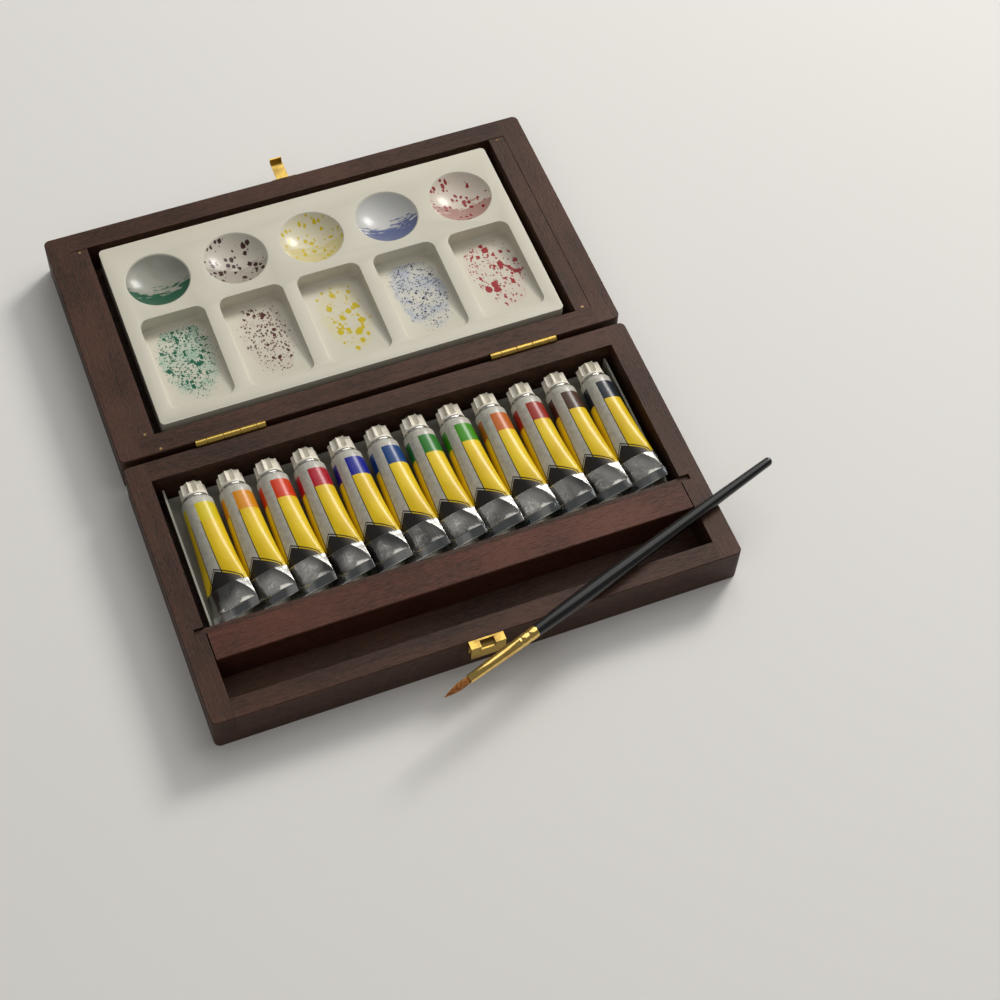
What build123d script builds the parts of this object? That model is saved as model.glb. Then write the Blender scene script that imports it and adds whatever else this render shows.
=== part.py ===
from build123d import *
import os
from math import cos, pi, radians, sin

os.makedirs("parts", exist_ok=True)

# All sizes are in millimetres. +Z is up, X runs along the box, Y runs from the front to the lid.
# The origin is the centre of the base's underside. The lid lies open flat behind the base.

# Box shell
box_width = 260.0
box_depth = 144.0
half_height = 22.0
corner_radius = 3.0
rim_chamfer = 0.4
base_side_wall = 11.2
base_front_wall = 10.0
base_back_wall = 11.3
lid_side_wall = 11.5
lid_hinge_wall = 10.9
lid_far_wall = 11.3
panel_thickness = 3.0
panel_inset = 5.0
panel_clearance = 0.1

# Hinge axis: the lid stands off the base by this gap when it lies open
lid_gap = 3.2
rim_clearance = 0.3

# Inside of the base
compartment_width = 20.7
rail_width = 15.4
rail_end_clearance = 0.6
board_thickness = 2.8
board_clearance = 0.1
board_drop = 1.5
dado_depth = 4.8

# Tray under the tubes
tray_wall = 1.0
tray_seat = 0.3
tray_left = -115.0
tray_lip_height = 10.0
tray_lip_round = 8.0
tray_front_clearance = 0.3
tray_back_clearance = 1.2
tray_lip_clearance = 0.3

# Paint tubes
tube_count = 12
tube_pitch = 18.75
first_tube_x = -101.4
tube_diameter = 16.0
tube_length = 75.0
tube_end_y = 57.4
tube_rest = 0.3
tube_roll = 25.0
tube_lean = 25.0
crimp_width = 24.4
crimp_thickness = 1.2
crimp_length = 4.8
shoulder_length = 3.0
shoulder_radius = 6.3
shoulder_round = 0.5
nozzle_radius = 3.0
nozzle_length = 6.3
flatten_at = 14.0
flatten_steps = ((0.28, 8.6, 7.5), (0.55, 9.6, 6.4), (0.78, 10.9, 4.4))

# Caps
cap_length = 8.0
cap_wide_radius = 6.6
cap_narrow_radius = 6.3
cap_flutes = 10
flute_radius = 2.0
flute_depth = 0.6
cap_collar = 1.2
cap_edge = 0.4
cap_clearance = 0.1
cap_hole_clearance = 0.3
thread_clearance = 0.05

# Palette
palette_width = 210.7
palette_side_gap = 3.9
palette_drop = 0.2
palette_seat = 0.3
palette_corner = 3.5
palette_wall = 2.0
palette_edge_round = 0.8
well_count = 5
well_pitch = 40.9
well_width = 33.6
well_length = 57.5
well_margin = 6.5
well_corner = 5.0
well_foot_round = 1.5
well_front_depth = 1.2
well_back_depth = 9.5
bowl_radius = 16.7
bowl_depth = 6.0
bowl_offset = 22.5

# Lid strips
strip_width = 8.5
strip_drop = 0.3
brad_radius = 0.7
brad_length = 10.0
brad_clearance = 0.03
brad_head_rise = 0.05
strip_brad_inset = 1.6
wall_brad_x = -109.4
wall_brad_inset = 1.9

# Hinges
hinge_length = 35.0
hinge_left_x = -75.6
hinge_right_x = 76.4
barrel_radius = 1.9
barrel_clearance = 0.3
knuckle_shares = (0.16, 0.24, 0.24, 0.24, 0.12)
knuckle_clearance = 0.15
hinge_pin_radius = 0.8
pin_clearance = 0.05
leaf_thickness = 0.8
leaf_height = 9.5
screw_head_radius = 1.5
screw_head_height = 0.4
screw_radius = 0.7
screw_length = 7.0
screw_inset = 6.0
screw_drop = 6.2
screw_clearance = 0.03

# Latch keeper on the base
keeper_width = 17.0
keeper_plate = 0.9
keeper_reach = 4.3
keeper_height = 9.5
keeper_notch = 7.0
keeper_notch_drop = 3.0
keeper_pin_spacing = 11.0
keeper_pin_drop = 5.2

# Latch on the lid, given with the lid shut
latch_width = 14.0
latch_foot = 2.6
latch_height = 11.5
latch_pivot_rise = 5.0
latch_pivot_out = 2.4
latch_knuckle_radius = 1.4
latch_knuckle_length = 3.1
latch_pin_radius = 0.6
latch_pin_drop = 3.0
latch_pin_spacing = 8.4
hasp_clearance = 0.5
hasp_thickness = 0.8
hasp_width = 6.4
hasp_arm_height = 1.8
hook_grip = 1.3
hasp_swing = 90.0

# Brush, measured from the hair tip along the brush
brush_length = 204.4
brush_heading = 18.96
brush_tip_x = -29.7
brush_tip_y = -97.0
brush_rest = 0.3
hair_length = 14.4
ferrule_length = 39.6
hair_root = 2.0
hair_radius = 1.75
hair_belly_radius = 2.05
hair_belly_at = 9.0
hair_tip_radius = 0.3
ferrule_tip_radius = 2.1
ferrule_middle_at = 22.0
ferrule_middle_radius = 2.75
ferrule_end_radius = 3.05
ferrule_rings = (9.0, 4.5)
ferrule_ring_half = 0.9
ferrule_ring_depth = 0.22
handle_start_radius = 2.9
handle_swell_at = 15.0
handle_swell_radius = 3.4
belly_radius = 3.7
belly_at = 92.0
tail_radius = 2.2
tenon_length = 20.0
tenon_radius = 2.4
fit_clearance = 0.02
strand_rings = 10
strand_fill = 0.7

# Places that follow from the sizes above
half_width = box_width / 2
front_y = -box_depth / 2
back_y = box_depth / 2
lid_near_y = back_y + lid_gap
lid_far_y = lid_near_y + box_depth
hinge_y = back_y + lid_gap / 2
hinge_z = half_height + rim_clearance / 2
base_inner_width = box_width - 2 * base_side_wall
lid_inner_width = box_width - 2 * lid_side_wall
rail_front_y = front_y + base_front_wall + compartment_width
rail_back_y = rail_front_y + rail_width
board_front_y = rail_back_y + board_clearance
board_back_y = board_front_y + board_thickness
tray_front_y = board_back_y + tray_front_clearance
tray_back_y = back_y - base_back_wall - tray_back_clearance
tray_floor_top = panel_thickness + tray_seat + tray_wall
tray_lip_top = panel_thickness + tray_seat + tray_lip_height
tube_axis_z = tray_floor_top + tube_rest + tube_diameter / 2
last_tube_x = first_tube_x + (tube_count - 1) * tube_pitch

# The tubes overlap like shingles, so each one is lifted along a way that leans to the right.
# Square to that way, every crimp must pass its neighbours and the tray's right lip.
crimp_turn = radians(tube_roll + tube_lean)
crimp_reach = crimp_width / 2 * cos(crimp_turn) + crimp_thickness / 2 * sin(crimp_turn)
lip_rise = (tray_lip_top - tube_axis_z) * sin(radians(tube_lean))
lip_way = (crimp_reach + tray_lip_clearance + lip_rise) / cos(radians(tube_lean))
tray_right = last_tube_x + lip_way + tray_wall
palette_front_y = lid_near_y + lid_hinge_wall + palette_side_gap
palette_back_y = lid_far_y - lid_far_wall - palette_side_gap
palette_top = half_height - palette_drop
palette_bottom = panel_thickness + palette_seat

# How far each panel's groove starts from the outside of the cross walls
panel_edge = min(base_front_wall, base_back_wall, lid_hinge_wall, lid_far_wall) - panel_inset


# Writes one finished piece under its node name
def save(part, node):
    part.label = node
    export_step(part, f"parts/{node}.step")


# A box given by its lowest and highest corners, for the builder that is open
def block(low, high, mode=Mode.ADD):
    size = [b - a for a, b in zip(low, high)]
    middle = [(a + b) / 2 for a, b in zip(low, high)]
    with Locations(tuple(middle)):
        Box(*size, mode=mode)


# A round bar along X between two places
def bar_x(x0, x1, y, z, radius, mode=Mode.ADD):
    with BuildSketch(Plane(origin=(x0, y, z), x_dir=(0, 1, 0), z_dir=(1, 0, 0))) as disc:
        Circle(radius)
    extrude(disc.sketch, amount=x1 - x0, mode=mode)


# A round bar along Y between two places
def bar_y(x, y0, y1, z, radius, mode=Mode.ADD):
    with BuildSketch(Plane(origin=(x, y0, z), x_dir=(1, 0, 0), z_dir=(0, 1, 0))) as disc:
        Circle(radius)
    extrude(disc.sketch, amount=y1 - y0, mode=mode)


# A round bar along Z between two heights
def bar_z(x, y, z0, z1, radius, mode=Mode.ADD):
    with BuildSketch(Plane(origin=(x, y, z0))) as disc:
        Circle(radius)
    extrude(disc.sketch, amount=z1 - z0, mode=mode)


# The room that a hinge barrel needs, cut along its whole length
def barrel_room(mode=Mode.SUBTRACT):
    reach = hinge_length / 2 + barrel_clearance
    for x in (hinge_left_x, hinge_right_x):
        bar_x(x - reach, x + reach, hinge_y, hinge_z, barrel_radius + barrel_clearance, mode)


# Screw places of one hinge along X
def screw_xs(x):
    reach = hinge_length / 2 - screw_inset
    return (x - reach, x, x + reach)


screw_z = half_height - screw_drop


# A side wall, from one end of its half of the box to the other
def side_wall(side, y0, y1, wall, dado):
    outer = side * half_width
    inner = side * (half_width - wall)
    low = min(outer, inner)
    high = max(outer, inner)
    with BuildPart() as piece:
        block((low, y0, 0), (high, y1, half_height))
        uprights = piece.edges().filter_by(Axis.Z).group_by(Axis.X)
        fillet(uprights[0 if side < 0 else -1], corner_radius)
        rims = piece.faces().sort_by(Axis.Z)[-1].edges()
        chamfer(rims.filter_by(Axis.Y).group_by(Axis.X)[0 if side < 0 else -1], rim_chamfer)
        groove = side * (half_width - wall + panel_inset)
        block((min(inner, groove), y0 + panel_edge, 0),
              (max(inner, groove), y1 - panel_edge, panel_thickness), Mode.SUBTRACT)
        if dado:
            slot = side * (half_width - wall + dado_depth)
            block((min(inner, slot), board_front_y - board_clearance, panel_thickness),
                  (max(inner, slot), board_back_y + board_clearance, half_height), Mode.SUBTRACT)
    return piece.part


# Base
save(side_wall(-1, front_y, back_y, base_side_wall, True), "base_left_wall")
save(side_wall(1, front_y, back_y, base_side_wall, True), "base_right_wall")

keeper_pin_xs = (-keeper_pin_spacing / 2, keeper_pin_spacing / 2)
keeper_pin_z = half_height - keeper_pin_drop

with BuildPart() as front_wall:
    inner = base_inner_width / 2
    block((-inner, front_y, 0), (inner, front_y + base_front_wall, half_height))
    chamfer(front_wall.faces().sort_by(Axis.Z)[-1].edges().sort_by(Axis.Y)[0], rim_chamfer)
    block((-inner, front_y + panel_edge, 0),
          (inner, front_y + base_front_wall, panel_thickness), Mode.SUBTRACT)
    for x in keeper_pin_xs:
        bar_y(x, front_y, front_y + screw_length, keeper_pin_z, screw_radius + screw_clearance,
              Mode.SUBTRACT)
save(front_wall.part, "base_front_wall")

with BuildPart() as back_wall:
    block((-inner, back_y - base_back_wall, 0), (inner, back_y, half_height))
    chamfer(back_wall.faces().sort_by(Axis.Z)[-1].edges().sort_by(Axis.Y)[-1], rim_chamfer)
    block((-inner, back_y - base_back_wall, 0), (inner, back_y - panel_edge, panel_thickness),
          Mode.SUBTRACT)
    barrel_room()
    for hinge_x in (hinge_left_x, hinge_right_x):
        for x in screw_xs(hinge_x):
            bar_y(x, back_y - screw_length, back_y, screw_z, screw_radius + screw_clearance,
                  Mode.SUBTRACT)
save(back_wall.part, "base_back_wall")


# A thin bottom or top panel that sits in the grooves of the four walls
def panel(y0, y1, side):
    reach = half_width - side + panel_inset - panel_clearance
    with BuildPart() as piece:
        block((-reach, y0 + panel_edge + panel_clearance, 0),
              (reach, y1 - panel_edge - panel_clearance, panel_thickness))
    return piece.part


save(panel(front_y, back_y, base_side_wall), "base_floor_panel")

with BuildPart() as rail:
    reach = base_inner_width / 2 - rail_end_clearance
    block((-reach, rail_front_y, panel_thickness), (reach, rail_back_y, half_height))
    chamfer(rail.faces().sort_by(Axis.Z)[-1].edges().filter_by(Axis.X), rim_chamfer)
save(rail.part, "divider_rail")

with BuildPart() as board:
    reach = base_inner_width / 2 + dado_depth - board_clearance
    block((-reach, board_front_y, panel_thickness),
          (reach, board_back_y, half_height - board_drop))
save(board.part, "partition_board")

with BuildPart() as tray:
    tray_under = panel_thickness + tray_seat
    block((tray_left, tray_front_y, tray_under), (tray_right, tray_back_y, tray_floor_top))
    block((tray_left, tray_front_y, tray_under),
          (tray_right, tray_front_y + tray_wall, tray_lip_top))
    for x in (tray_left, tray_right - tray_wall):
        with BuildSketch(Plane(origin=(x, 0, 0), x_dir=(0, 1, 0), z_dir=(1, 0, 0))):
            with BuildLine():
                Polyline((tray_front_y, tray_under), (tray_back_y, tray_under),
                         (tray_back_y, tray_lip_top), (tray_front_y, tray_lip_top), close=True)
            lip = make_face()
            fillet(lip.vertices().sort_by(Axis.Y)[-2:].sort_by(Axis.Z)[-1], tray_lip_round)
        extrude(amount=tray_wall)
save(tray.part, "tube_tray")

# Latch keeper: a folded strip whose front plate the hook grips from below
with BuildPart() as keeper:
    half = keeper_width / 2
    keeper_foot = half_height - keeper_height
    keeper_face_y = front_y - keeper_reach
    block((-half, front_y - keeper_plate, keeper_foot), (half, front_y, half_height))
    block((-half, keeper_face_y, half_height - keeper_plate),
          (half, front_y, half_height))
    block((-half, keeper_face_y, keeper_foot),
          (half, keeper_face_y + keeper_plate, half_height))
    notch = keeper_notch / 2
    block((-notch, keeper_face_y, half_height - keeper_notch_drop),
          (notch, front_y - keeper_plate, half_height), Mode.SUBTRACT)
    for x in keeper_pin_xs:
        bar_y(x, front_y - keeper_plate, front_y, keeper_pin_z, screw_radius + screw_clearance,
              Mode.SUBTRACT)
save(keeper.part, "latch_keeper")


# A round-headed pin along Y; turn is the way its head points
def headed_pin(x, y, z, turn):
    bar_y(x, min(y, y - turn * screw_length), max(y, y - turn * screw_length), z, screw_radius)
    bar_y(x, min(y, y + turn * screw_head_height), max(y, y + turn * screw_head_height), z,
          screw_head_radius)


with BuildPart() as keeper_pins:
    for x in keeper_pin_xs:
        headed_pin(x, front_y - keeper_plate, keeper_pin_z, -1)
save(keeper_pins.part, "keeper_pins")


# Hinges: odd knuckles belong to the base leaf, even ones to the lid leaf
def knuckles(hinge_x):
    start = hinge_x - hinge_length / 2
    spans = []
    for share in knuckle_shares:
        end = start + share * hinge_length
        spans.append((start, end))
        start = end
    return spans


def hinge_leaf(hinge_x, on_lid):
    spans = knuckles(hinge_x)
    own = spans[1::2] if on_lid else spans[0::2]
    other = spans[0::2] if on_lid else spans[1::2]
    half = hinge_length / 2
    face_y = lid_near_y if on_lid else back_y
    inner_y = face_y - leaf_thickness if on_lid else face_y + leaf_thickness
    with BuildPart() as leaf:
        block((hinge_x - half, min(face_y, inner_y), half_height - leaf_height),
              (hinge_x + half, max(face_y, inner_y), hinge_z))
        for x0, x1 in own:
            bar_x(x0, x1, hinge_y, hinge_z, barrel_radius)
        for x0, x1 in other:
            bar_x(x0 - knuckle_clearance, x1 + knuckle_clearance, hinge_y, hinge_z,
                  barrel_radius + barrel_clearance, Mode.SUBTRACT)
        bar_x(hinge_x - half, hinge_x + half, hinge_y, hinge_z,
              hinge_pin_radius + pin_clearance, Mode.SUBTRACT)
        for x in screw_xs(hinge_x):
            bar_y(x, min(face_y, inner_y), max(face_y, inner_y), screw_z,
                  screw_radius + screw_clearance, Mode.SUBTRACT)
    return leaf.part


for side, hinge_x in (("left", hinge_left_x), ("right", hinge_right_x)):
    save(hinge_leaf(hinge_x, False), f"hinge_{side}_base_leaf")
    save(hinge_leaf(hinge_x, True), f"hinge_{side}_lid_leaf")

with BuildPart() as pins:
    for hinge_x in (hinge_left_x, hinge_right_x):
        half = hinge_length / 2
        bar_x(hinge_x - half, hinge_x + half, hinge_y, hinge_z, hinge_pin_radius)
save(pins.part, "hinge_pins")

with BuildPart() as base_screws:
    for hinge_x in (hinge_left_x, hinge_right_x):
        for x in screw_xs(hinge_x):
            headed_pin(x, back_y + leaf_thickness, screw_z, 1)
save(base_screws.part, "hinge_base_screws")

with BuildPart() as lid_screws:
    for hinge_x in (hinge_left_x, hinge_right_x):
        for x in screw_xs(hinge_x):
            headed_pin(x, lid_near_y - leaf_thickness, screw_z, -1)
save(lid_screws.part, "hinge_lid_screws")

# Lid
strip_end_y = lid_near_y + lid_hinge_wall
strip_far_y = lid_far_y - lid_far_wall
strip_top = half_height - strip_drop
strip_x = lid_inner_width / 2 - strip_width / 2
strip_brads = [(side * strip_x, y, strip_top)
               for side in (-1, 1)
               for y in (strip_end_y + strip_brad_inset, strip_far_y - strip_brad_inset)]
wall_brad = (wall_brad_x, lid_near_y + wall_brad_inset, half_height)

save(side_wall(-1, lid_near_y, lid_far_y, lid_side_wall, False), "lid_left_wall")
save(side_wall(1, lid_near_y, lid_far_y, lid_side_wall, False), "lid_right_wall")
save(panel(lid_near_y, lid_far_y, lid_side_wall), "lid_top_panel")

with BuildPart() as hinge_wall:
    inner = lid_inner_width / 2
    block((-inner, lid_near_y, 0), (inner, lid_near_y + lid_hinge_wall, half_height))
    chamfer(hinge_wall.faces().sort_by(Axis.Z)[-1].edges().sort_by(Axis.Y)[0], rim_chamfer)
    block((-inner, lid_near_y + panel_edge, 0), (inner, lid_near_y + lid_hinge_wall, panel_thickness),
          Mode.SUBTRACT)
    barrel_room()
    for hinge_x in (hinge_left_x, hinge_right_x):
        for x in screw_xs(hinge_x):
            bar_y(x, lid_near_y, lid_near_y + screw_length, screw_z, screw_radius + screw_clearance,
                  Mode.SUBTRACT)
    bar_z(wall_brad[0], wall_brad[1], half_height - brad_length, half_height,
          brad_radius + brad_clearance, Mode.SUBTRACT)
save(hinge_wall.part, "lid_hinge_wall")


# The lid's latch is laid out as if the lid were shut, then turned over with the lid
def opened(y, z):
    return (2 * hinge_y - y, 2 * hinge_z - z)


latch_low_z = half_height + rim_clearance + latch_foot
pivot_y, pivot_z = opened(front_y - latch_pivot_out, half_height + rim_clearance + latch_pivot_rise)
latch_pin_z = opened(0, latch_low_z + latch_height - latch_pin_drop)[1]
latch_pin_xs = (-latch_pin_spacing / 2, latch_pin_spacing / 2)

with BuildPart() as far_wall:
    block((-inner, lid_far_y - lid_far_wall, 0), (inner, lid_far_y, half_height))
    chamfer(far_wall.faces().sort_by(Axis.Z)[-1].edges().sort_by(Axis.Y)[-1], rim_chamfer)
    block((-inner, lid_far_y - lid_far_wall, 0), (inner, lid_far_y - panel_edge, panel_thickness),
          Mode.SUBTRACT)
    for x in latch_pin_xs:
        bar_y(x, lid_far_y - screw_length, lid_far_y, latch_pin_z, screw_radius + screw_clearance,
              Mode.SUBTRACT)
save(far_wall.part, "lid_far_wall")

for side, node in ((-1, "lid_strip_left"), (1, "lid_strip_right")):
    with BuildPart() as strip:
        block((side * strip_x - strip_width / 2, strip_end_y, panel_thickness),
              (side * strip_x + strip_width / 2, strip_far_y, strip_top))
        for x, y, z in strip_brads:
            if x * side > 0:
                bar_z(x, y, z - brad_length, z, brad_radius + brad_clearance, Mode.SUBTRACT)
    save(strip.part, node)

with BuildPart() as brads:
    for x, y, z in strip_brads + [wall_brad]:
        bar_z(x, y, z - brad_length + brad_clearance, z + brad_head_rise, brad_radius)
save(brads.part, "lid_brads")

# Latch plate with two knuckles, its pin, and the hasp that swings on it
knuckle_in = hasp_width / 2 + knuckle_clearance
knuckle_out = knuckle_in + latch_knuckle_length

with BuildPart() as latch_plate:
    y0, z0 = opened(front_y, latch_low_z)
    y1, z1 = opened(front_y - leaf_thickness, latch_low_z + latch_height)
    block((-latch_width / 2, y0, z1), (latch_width / 2, y1, z0))
    for side in (-1, 1):
        x0, x1 = sorted((side * knuckle_in, side * knuckle_out))
        bar_x(x0, x1, pivot_y, pivot_z, latch_knuckle_radius)
        block((x0, y0, pivot_z - latch_knuckle_radius), (x1, pivot_y, pivot_z + latch_knuckle_radius))
    bar_x(-knuckle_out, knuckle_out, pivot_y, pivot_z, latch_pin_radius + pin_clearance, Mode.SUBTRACT)
    for x in latch_pin_xs:
        bar_y(x, y0, y1, latch_pin_z, screw_radius + screw_clearance, Mode.SUBTRACT)
save(latch_plate.part, "latch_plate")

with BuildPart() as latch_pins:
    for x in latch_pin_xs:
        headed_pin(x, lid_far_y + leaf_thickness, latch_pin_z, 1)
save(latch_pins.part, "latch_plate_pins")

with BuildPart() as latch_pin:
    bar_x(-knuckle_out, knuckle_out, pivot_y, pivot_z, latch_pin_radius)
save(latch_pin.part, "latch_pin")

with BuildPart() as hasp:
    face_out = keeper_reach + hasp_clearance
    hook_z = keeper_foot - hasp_clearance
    hook_end_y = front_y - keeper_reach + keeper_plate + hook_grip
    arm_z = half_height + rim_clearance + latch_pivot_rise
    outline = [
        (front_y - latch_pivot_out, arm_z + hasp_arm_height / 2),
        (front_y - face_out - hasp_thickness, arm_z + hasp_arm_height / 2),
        (front_y - face_out - hasp_thickness, hook_z - hasp_thickness),
        (hook_end_y, hook_z - hasp_thickness),
        (hook_end_y, hook_z),
        (front_y - face_out, hook_z),
        (front_y - face_out, arm_z - hasp_arm_height / 2),
        (front_y - latch_pivot_out, arm_z - hasp_arm_height / 2),
    ]
    with BuildSketch(Plane(origin=(-hasp_width / 2, 0, 0), x_dir=(0, 1, 0), z_dir=(1, 0, 0))):
        with BuildLine():
            Polyline(*[opened(y, z) for y, z in outline], close=True)
        make_face()
    extrude(amount=hasp_width)
    bar_x(-hasp_width / 2, hasp_width / 2, pivot_y, pivot_z, latch_knuckle_radius)
    bar_x(-hasp_width / 2, hasp_width / 2, pivot_y, pivot_z, latch_pin_radius + pin_clearance,
          Mode.SUBTRACT)
pivot_axis = Axis((0, pivot_y, pivot_z), (1, 0, 0))
save(hasp.part.rotate(pivot_axis, -hasp_swing), "latch_hasp")


# Palette: a hollow moulding with sloping wells in front and round bowls behind
well_front_y = palette_front_y + well_margin
well_back_y = well_front_y + well_length
bowl_y = well_back_y + bowl_offset
bowl_sphere = (bowl_radius ** 2 + bowl_depth ** 2) / (2 * bowl_depth)
well_xs = [(i - (well_count - 1) / 2) * well_pitch for i in range(well_count)]


def sloping_well(x, grow):
    with BuildPart() as well:
        with BuildSketch(Plane(origin=(x - well_width / 2 - grow, 0, 0), x_dir=(0, 1, 0),
                               z_dir=(1, 0, 0))):
            with BuildLine():
                Polyline((well_front_y - grow, palette_top + 1),
                         (well_back_y + grow, palette_top + 1),
                         (well_back_y + grow, palette_top - well_back_depth - grow),
                         (well_front_y - grow, palette_top - well_front_depth - grow),
                         close=True)
            make_face()
        extrude(amount=well_width + 2 * grow)
        fillet(well.edges().filter_by(Axis.Z), well_corner + grow)
        if not grow:
            fillet(well.faces().sort_by(Axis.Z)[0].edges(), well_foot_round)
    return well.part


with BuildPart() as underside:
    block((-palette_width / 2 + palette_wall, palette_front_y + palette_wall, palette_bottom),
          (palette_width / 2 - palette_wall, palette_back_y - palette_wall, palette_top - palette_wall))
    for x in well_xs:
        add(sloping_well(x, palette_wall), mode=Mode.SUBTRACT)
        with Locations((x, bowl_y, palette_top - bowl_depth + bowl_sphere)):
            Sphere(bowl_sphere + palette_wall, mode=Mode.SUBTRACT)

with BuildPart() as palette:
    block((-palette_width / 2, palette_front_y, palette_bottom),
          (palette_width / 2, palette_back_y, palette_top))
    fillet(palette.edges().filter_by(Axis.Z), palette_corner)
    fillet(palette.faces().sort_by(Axis.Z)[-1].edges(), palette_edge_round)
    add(underside.part, mode=Mode.SUBTRACT)
    for x in well_xs:
        add(sloping_well(x, 0), mode=Mode.SUBTRACT)
        with Locations((x, bowl_y, palette_top - bowl_depth + bowl_sphere)):
            Sphere(bowl_sphere, mode=Mode.SUBTRACT)
save(palette.part, "palette")


# Turns a half outline, given as places and radii, about the X direction of its plane
def turned(points, plane, mode=Mode.ADD):
    with BuildSketch(plane) as half:
        with BuildLine():
            Polyline(*points, close=True)
        make_face()
    revolve(half.sketch, axis=Axis(plane.origin, plane.x_dir), mode=mode)


# Paint tubes: places along a tube are counted from the outer end of its cap
def across(x, place):
    return Plane(origin=(x, tube_end_y - place, tube_axis_z),
                 x_dir=(cos(radians(tube_roll)), 0, sin(radians(tube_roll))), z_dir=(0, -1, 0))


def along(x):
    return Plane(origin=(x, tube_end_y, tube_axis_z), x_dir=(0, -1, 0), z_dir=(1, 0, 0))


tube_radius = tube_diameter / 2
shoulder_at = cap_length + cap_clearance
barrel_at = shoulder_at + shoulder_length
crimp_at = tube_length - crimp_length
tube_sections = [(flatten_at, tube_radius, tube_radius)]
tube_sections += [(flatten_at + share * (crimp_at - flatten_at), wide, high)
                  for share, wide, high in flatten_steps]
tube_sections += [(crimp_at, crimp_width / 2 - 0.1, crimp_thickness / 2 + 0.1)]


def tube_body(x):
    with BuildPart() as tube:
        turned([(shoulder_at - nozzle_length, 0), (shoulder_at - nozzle_length, nozzle_radius),
                (shoulder_at, nozzle_radius), (shoulder_at, shoulder_radius),
                (barrel_at - shoulder_length / 3, tube_radius - shoulder_round),
                (barrel_at, tube_radius), (flatten_at, tube_radius), (flatten_at, 0)], along(x))
        for place, wide, high in tube_sections:
            with BuildSketch(across(x, place)):
                Ellipse(wide, high)
        loft()
        with BuildSketch(across(x, crimp_at)):
            RectangleRounded(crimp_width, crimp_thickness, crimp_thickness / 2 - 0.05)
        extrude(amount=crimp_length)
    return tube.part


def tube_cap(x):
    with BuildPart() as cap:
        turned([(0, 0), (0, cap_narrow_radius - cap_edge), (cap_edge, cap_narrow_radius),
                (cap_length, cap_wide_radius), (cap_length, 0)], along(x))
        with BuildSketch(across(x, 0)):
            with PolarLocations(cap_narrow_radius - flute_depth + flute_radius, cap_flutes):
                Circle(flute_radius)
        extrude(amount=cap_length - cap_collar, mode=Mode.SUBTRACT)
        hole_at = shoulder_at - nozzle_length - cap_hole_clearance
        with BuildSketch(across(x, hole_at)):
            Circle(nozzle_radius + thread_clearance)
        extrude(amount=cap_length - hole_at, mode=Mode.SUBTRACT)
    return cap.part


first_body = tube_body(first_tube_x)
first_cap = tube_cap(first_tube_x)
for number in range(tube_count):
    step = Location((number * tube_pitch, 0, 0))
    save(first_body.moved(step), f"tube_{number + 1:02d}_body")
    save(first_cap.moved(step), f"tube_{number + 1:02d}_cap")


# Brush: it lies on the front rim with its belly and on the right rim with its tail
def handle_radius(place):
    return belly_radius + (tail_radius - belly_radius) * (place - belly_at) / (brush_length - belly_at)


across_x = cos(radians(brush_heading))
across_y = sin(radians(brush_heading))
right_rim_at = (half_width - base_side_wall - brush_tip_x) / across_x
belly_height = half_height + brush_rest + belly_radius
tail_height = half_height + brush_rest + handle_radius(right_rim_at)
brush_drop = (belly_height - tail_height) / (right_rim_at - belly_at)
brush_tip = Vector(brush_tip_x, brush_tip_y, belly_height + brush_drop * belly_at)
brush_way = Vector(across_x, across_y, -brush_drop).normalized()
brush_side = brush_way.cross(Vector(0, 0, 1)).normalized()
brush_plane = Plane(origin=brush_tip, x_dir=brush_way, z_dir=brush_side)
brush_axis = Axis(brush_tip, brush_way)
ferrule_at = hair_length
handle_at = hair_length + ferrule_length
tail_at = brush_length - tail_radius


with BuildPart() as handle:
    with BuildSketch(brush_plane):
        with BuildLine():
            Line((handle_at, 0), (handle_at, handle_start_radius))
            Spline((handle_at, handle_start_radius),
                   (handle_at + handle_swell_at, handle_swell_radius),
                   (belly_at, belly_radius), (tail_at, tail_radius),
                   tangents=((1, 0.035), (1, -0.01)))
            ThreePointArc((tail_at, tail_radius),
                          (tail_at + tail_radius * sin(pi / 4), tail_radius * cos(pi / 4)),
                          (brush_length, 0))
            Line((brush_length, 0), (handle_at, 0))
        make_face()
    revolve(axis=brush_axis)
    turned([(handle_at - tenon_length, 0), (handle_at, 0), (handle_at, tenon_radius),
            (handle_at - tenon_length, tenon_radius)], brush_plane)
save(handle.part, "brush_handle")

with BuildPart() as ferrule:
    outline = [(ferrule_at, 0), (ferrule_at, ferrule_tip_radius),
               (ferrule_at + ferrule_middle_at, ferrule_middle_radius)]
    for back in ferrule_rings:
        outline += [(handle_at - back - ferrule_ring_half, ferrule_end_radius),
                    (handle_at - back, ferrule_end_radius - ferrule_ring_depth),
                    (handle_at - back + ferrule_ring_half, ferrule_end_radius)]
    outline += [(handle_at, ferrule_end_radius), (handle_at, 0)]
    turned(outline, brush_plane)
    turned([(ferrule_at, 0), (ferrule_at, hair_radius + fit_clearance),
            (ferrule_at + hair_root + fit_clearance, hair_radius + fit_clearance),
            (ferrule_at + hair_root + fit_clearance, 0)], brush_plane, Mode.SUBTRACT)
    turned([(handle_at, 0), (handle_at, tenon_radius + fit_clearance),
            (handle_at - tenon_length - fit_clearance, tenon_radius + fit_clearance),
            (handle_at - tenon_length - fit_clearance, 0)], brush_plane, Mode.SUBTRACT)
save(ferrule.part, "brush_ferrule")


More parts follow.
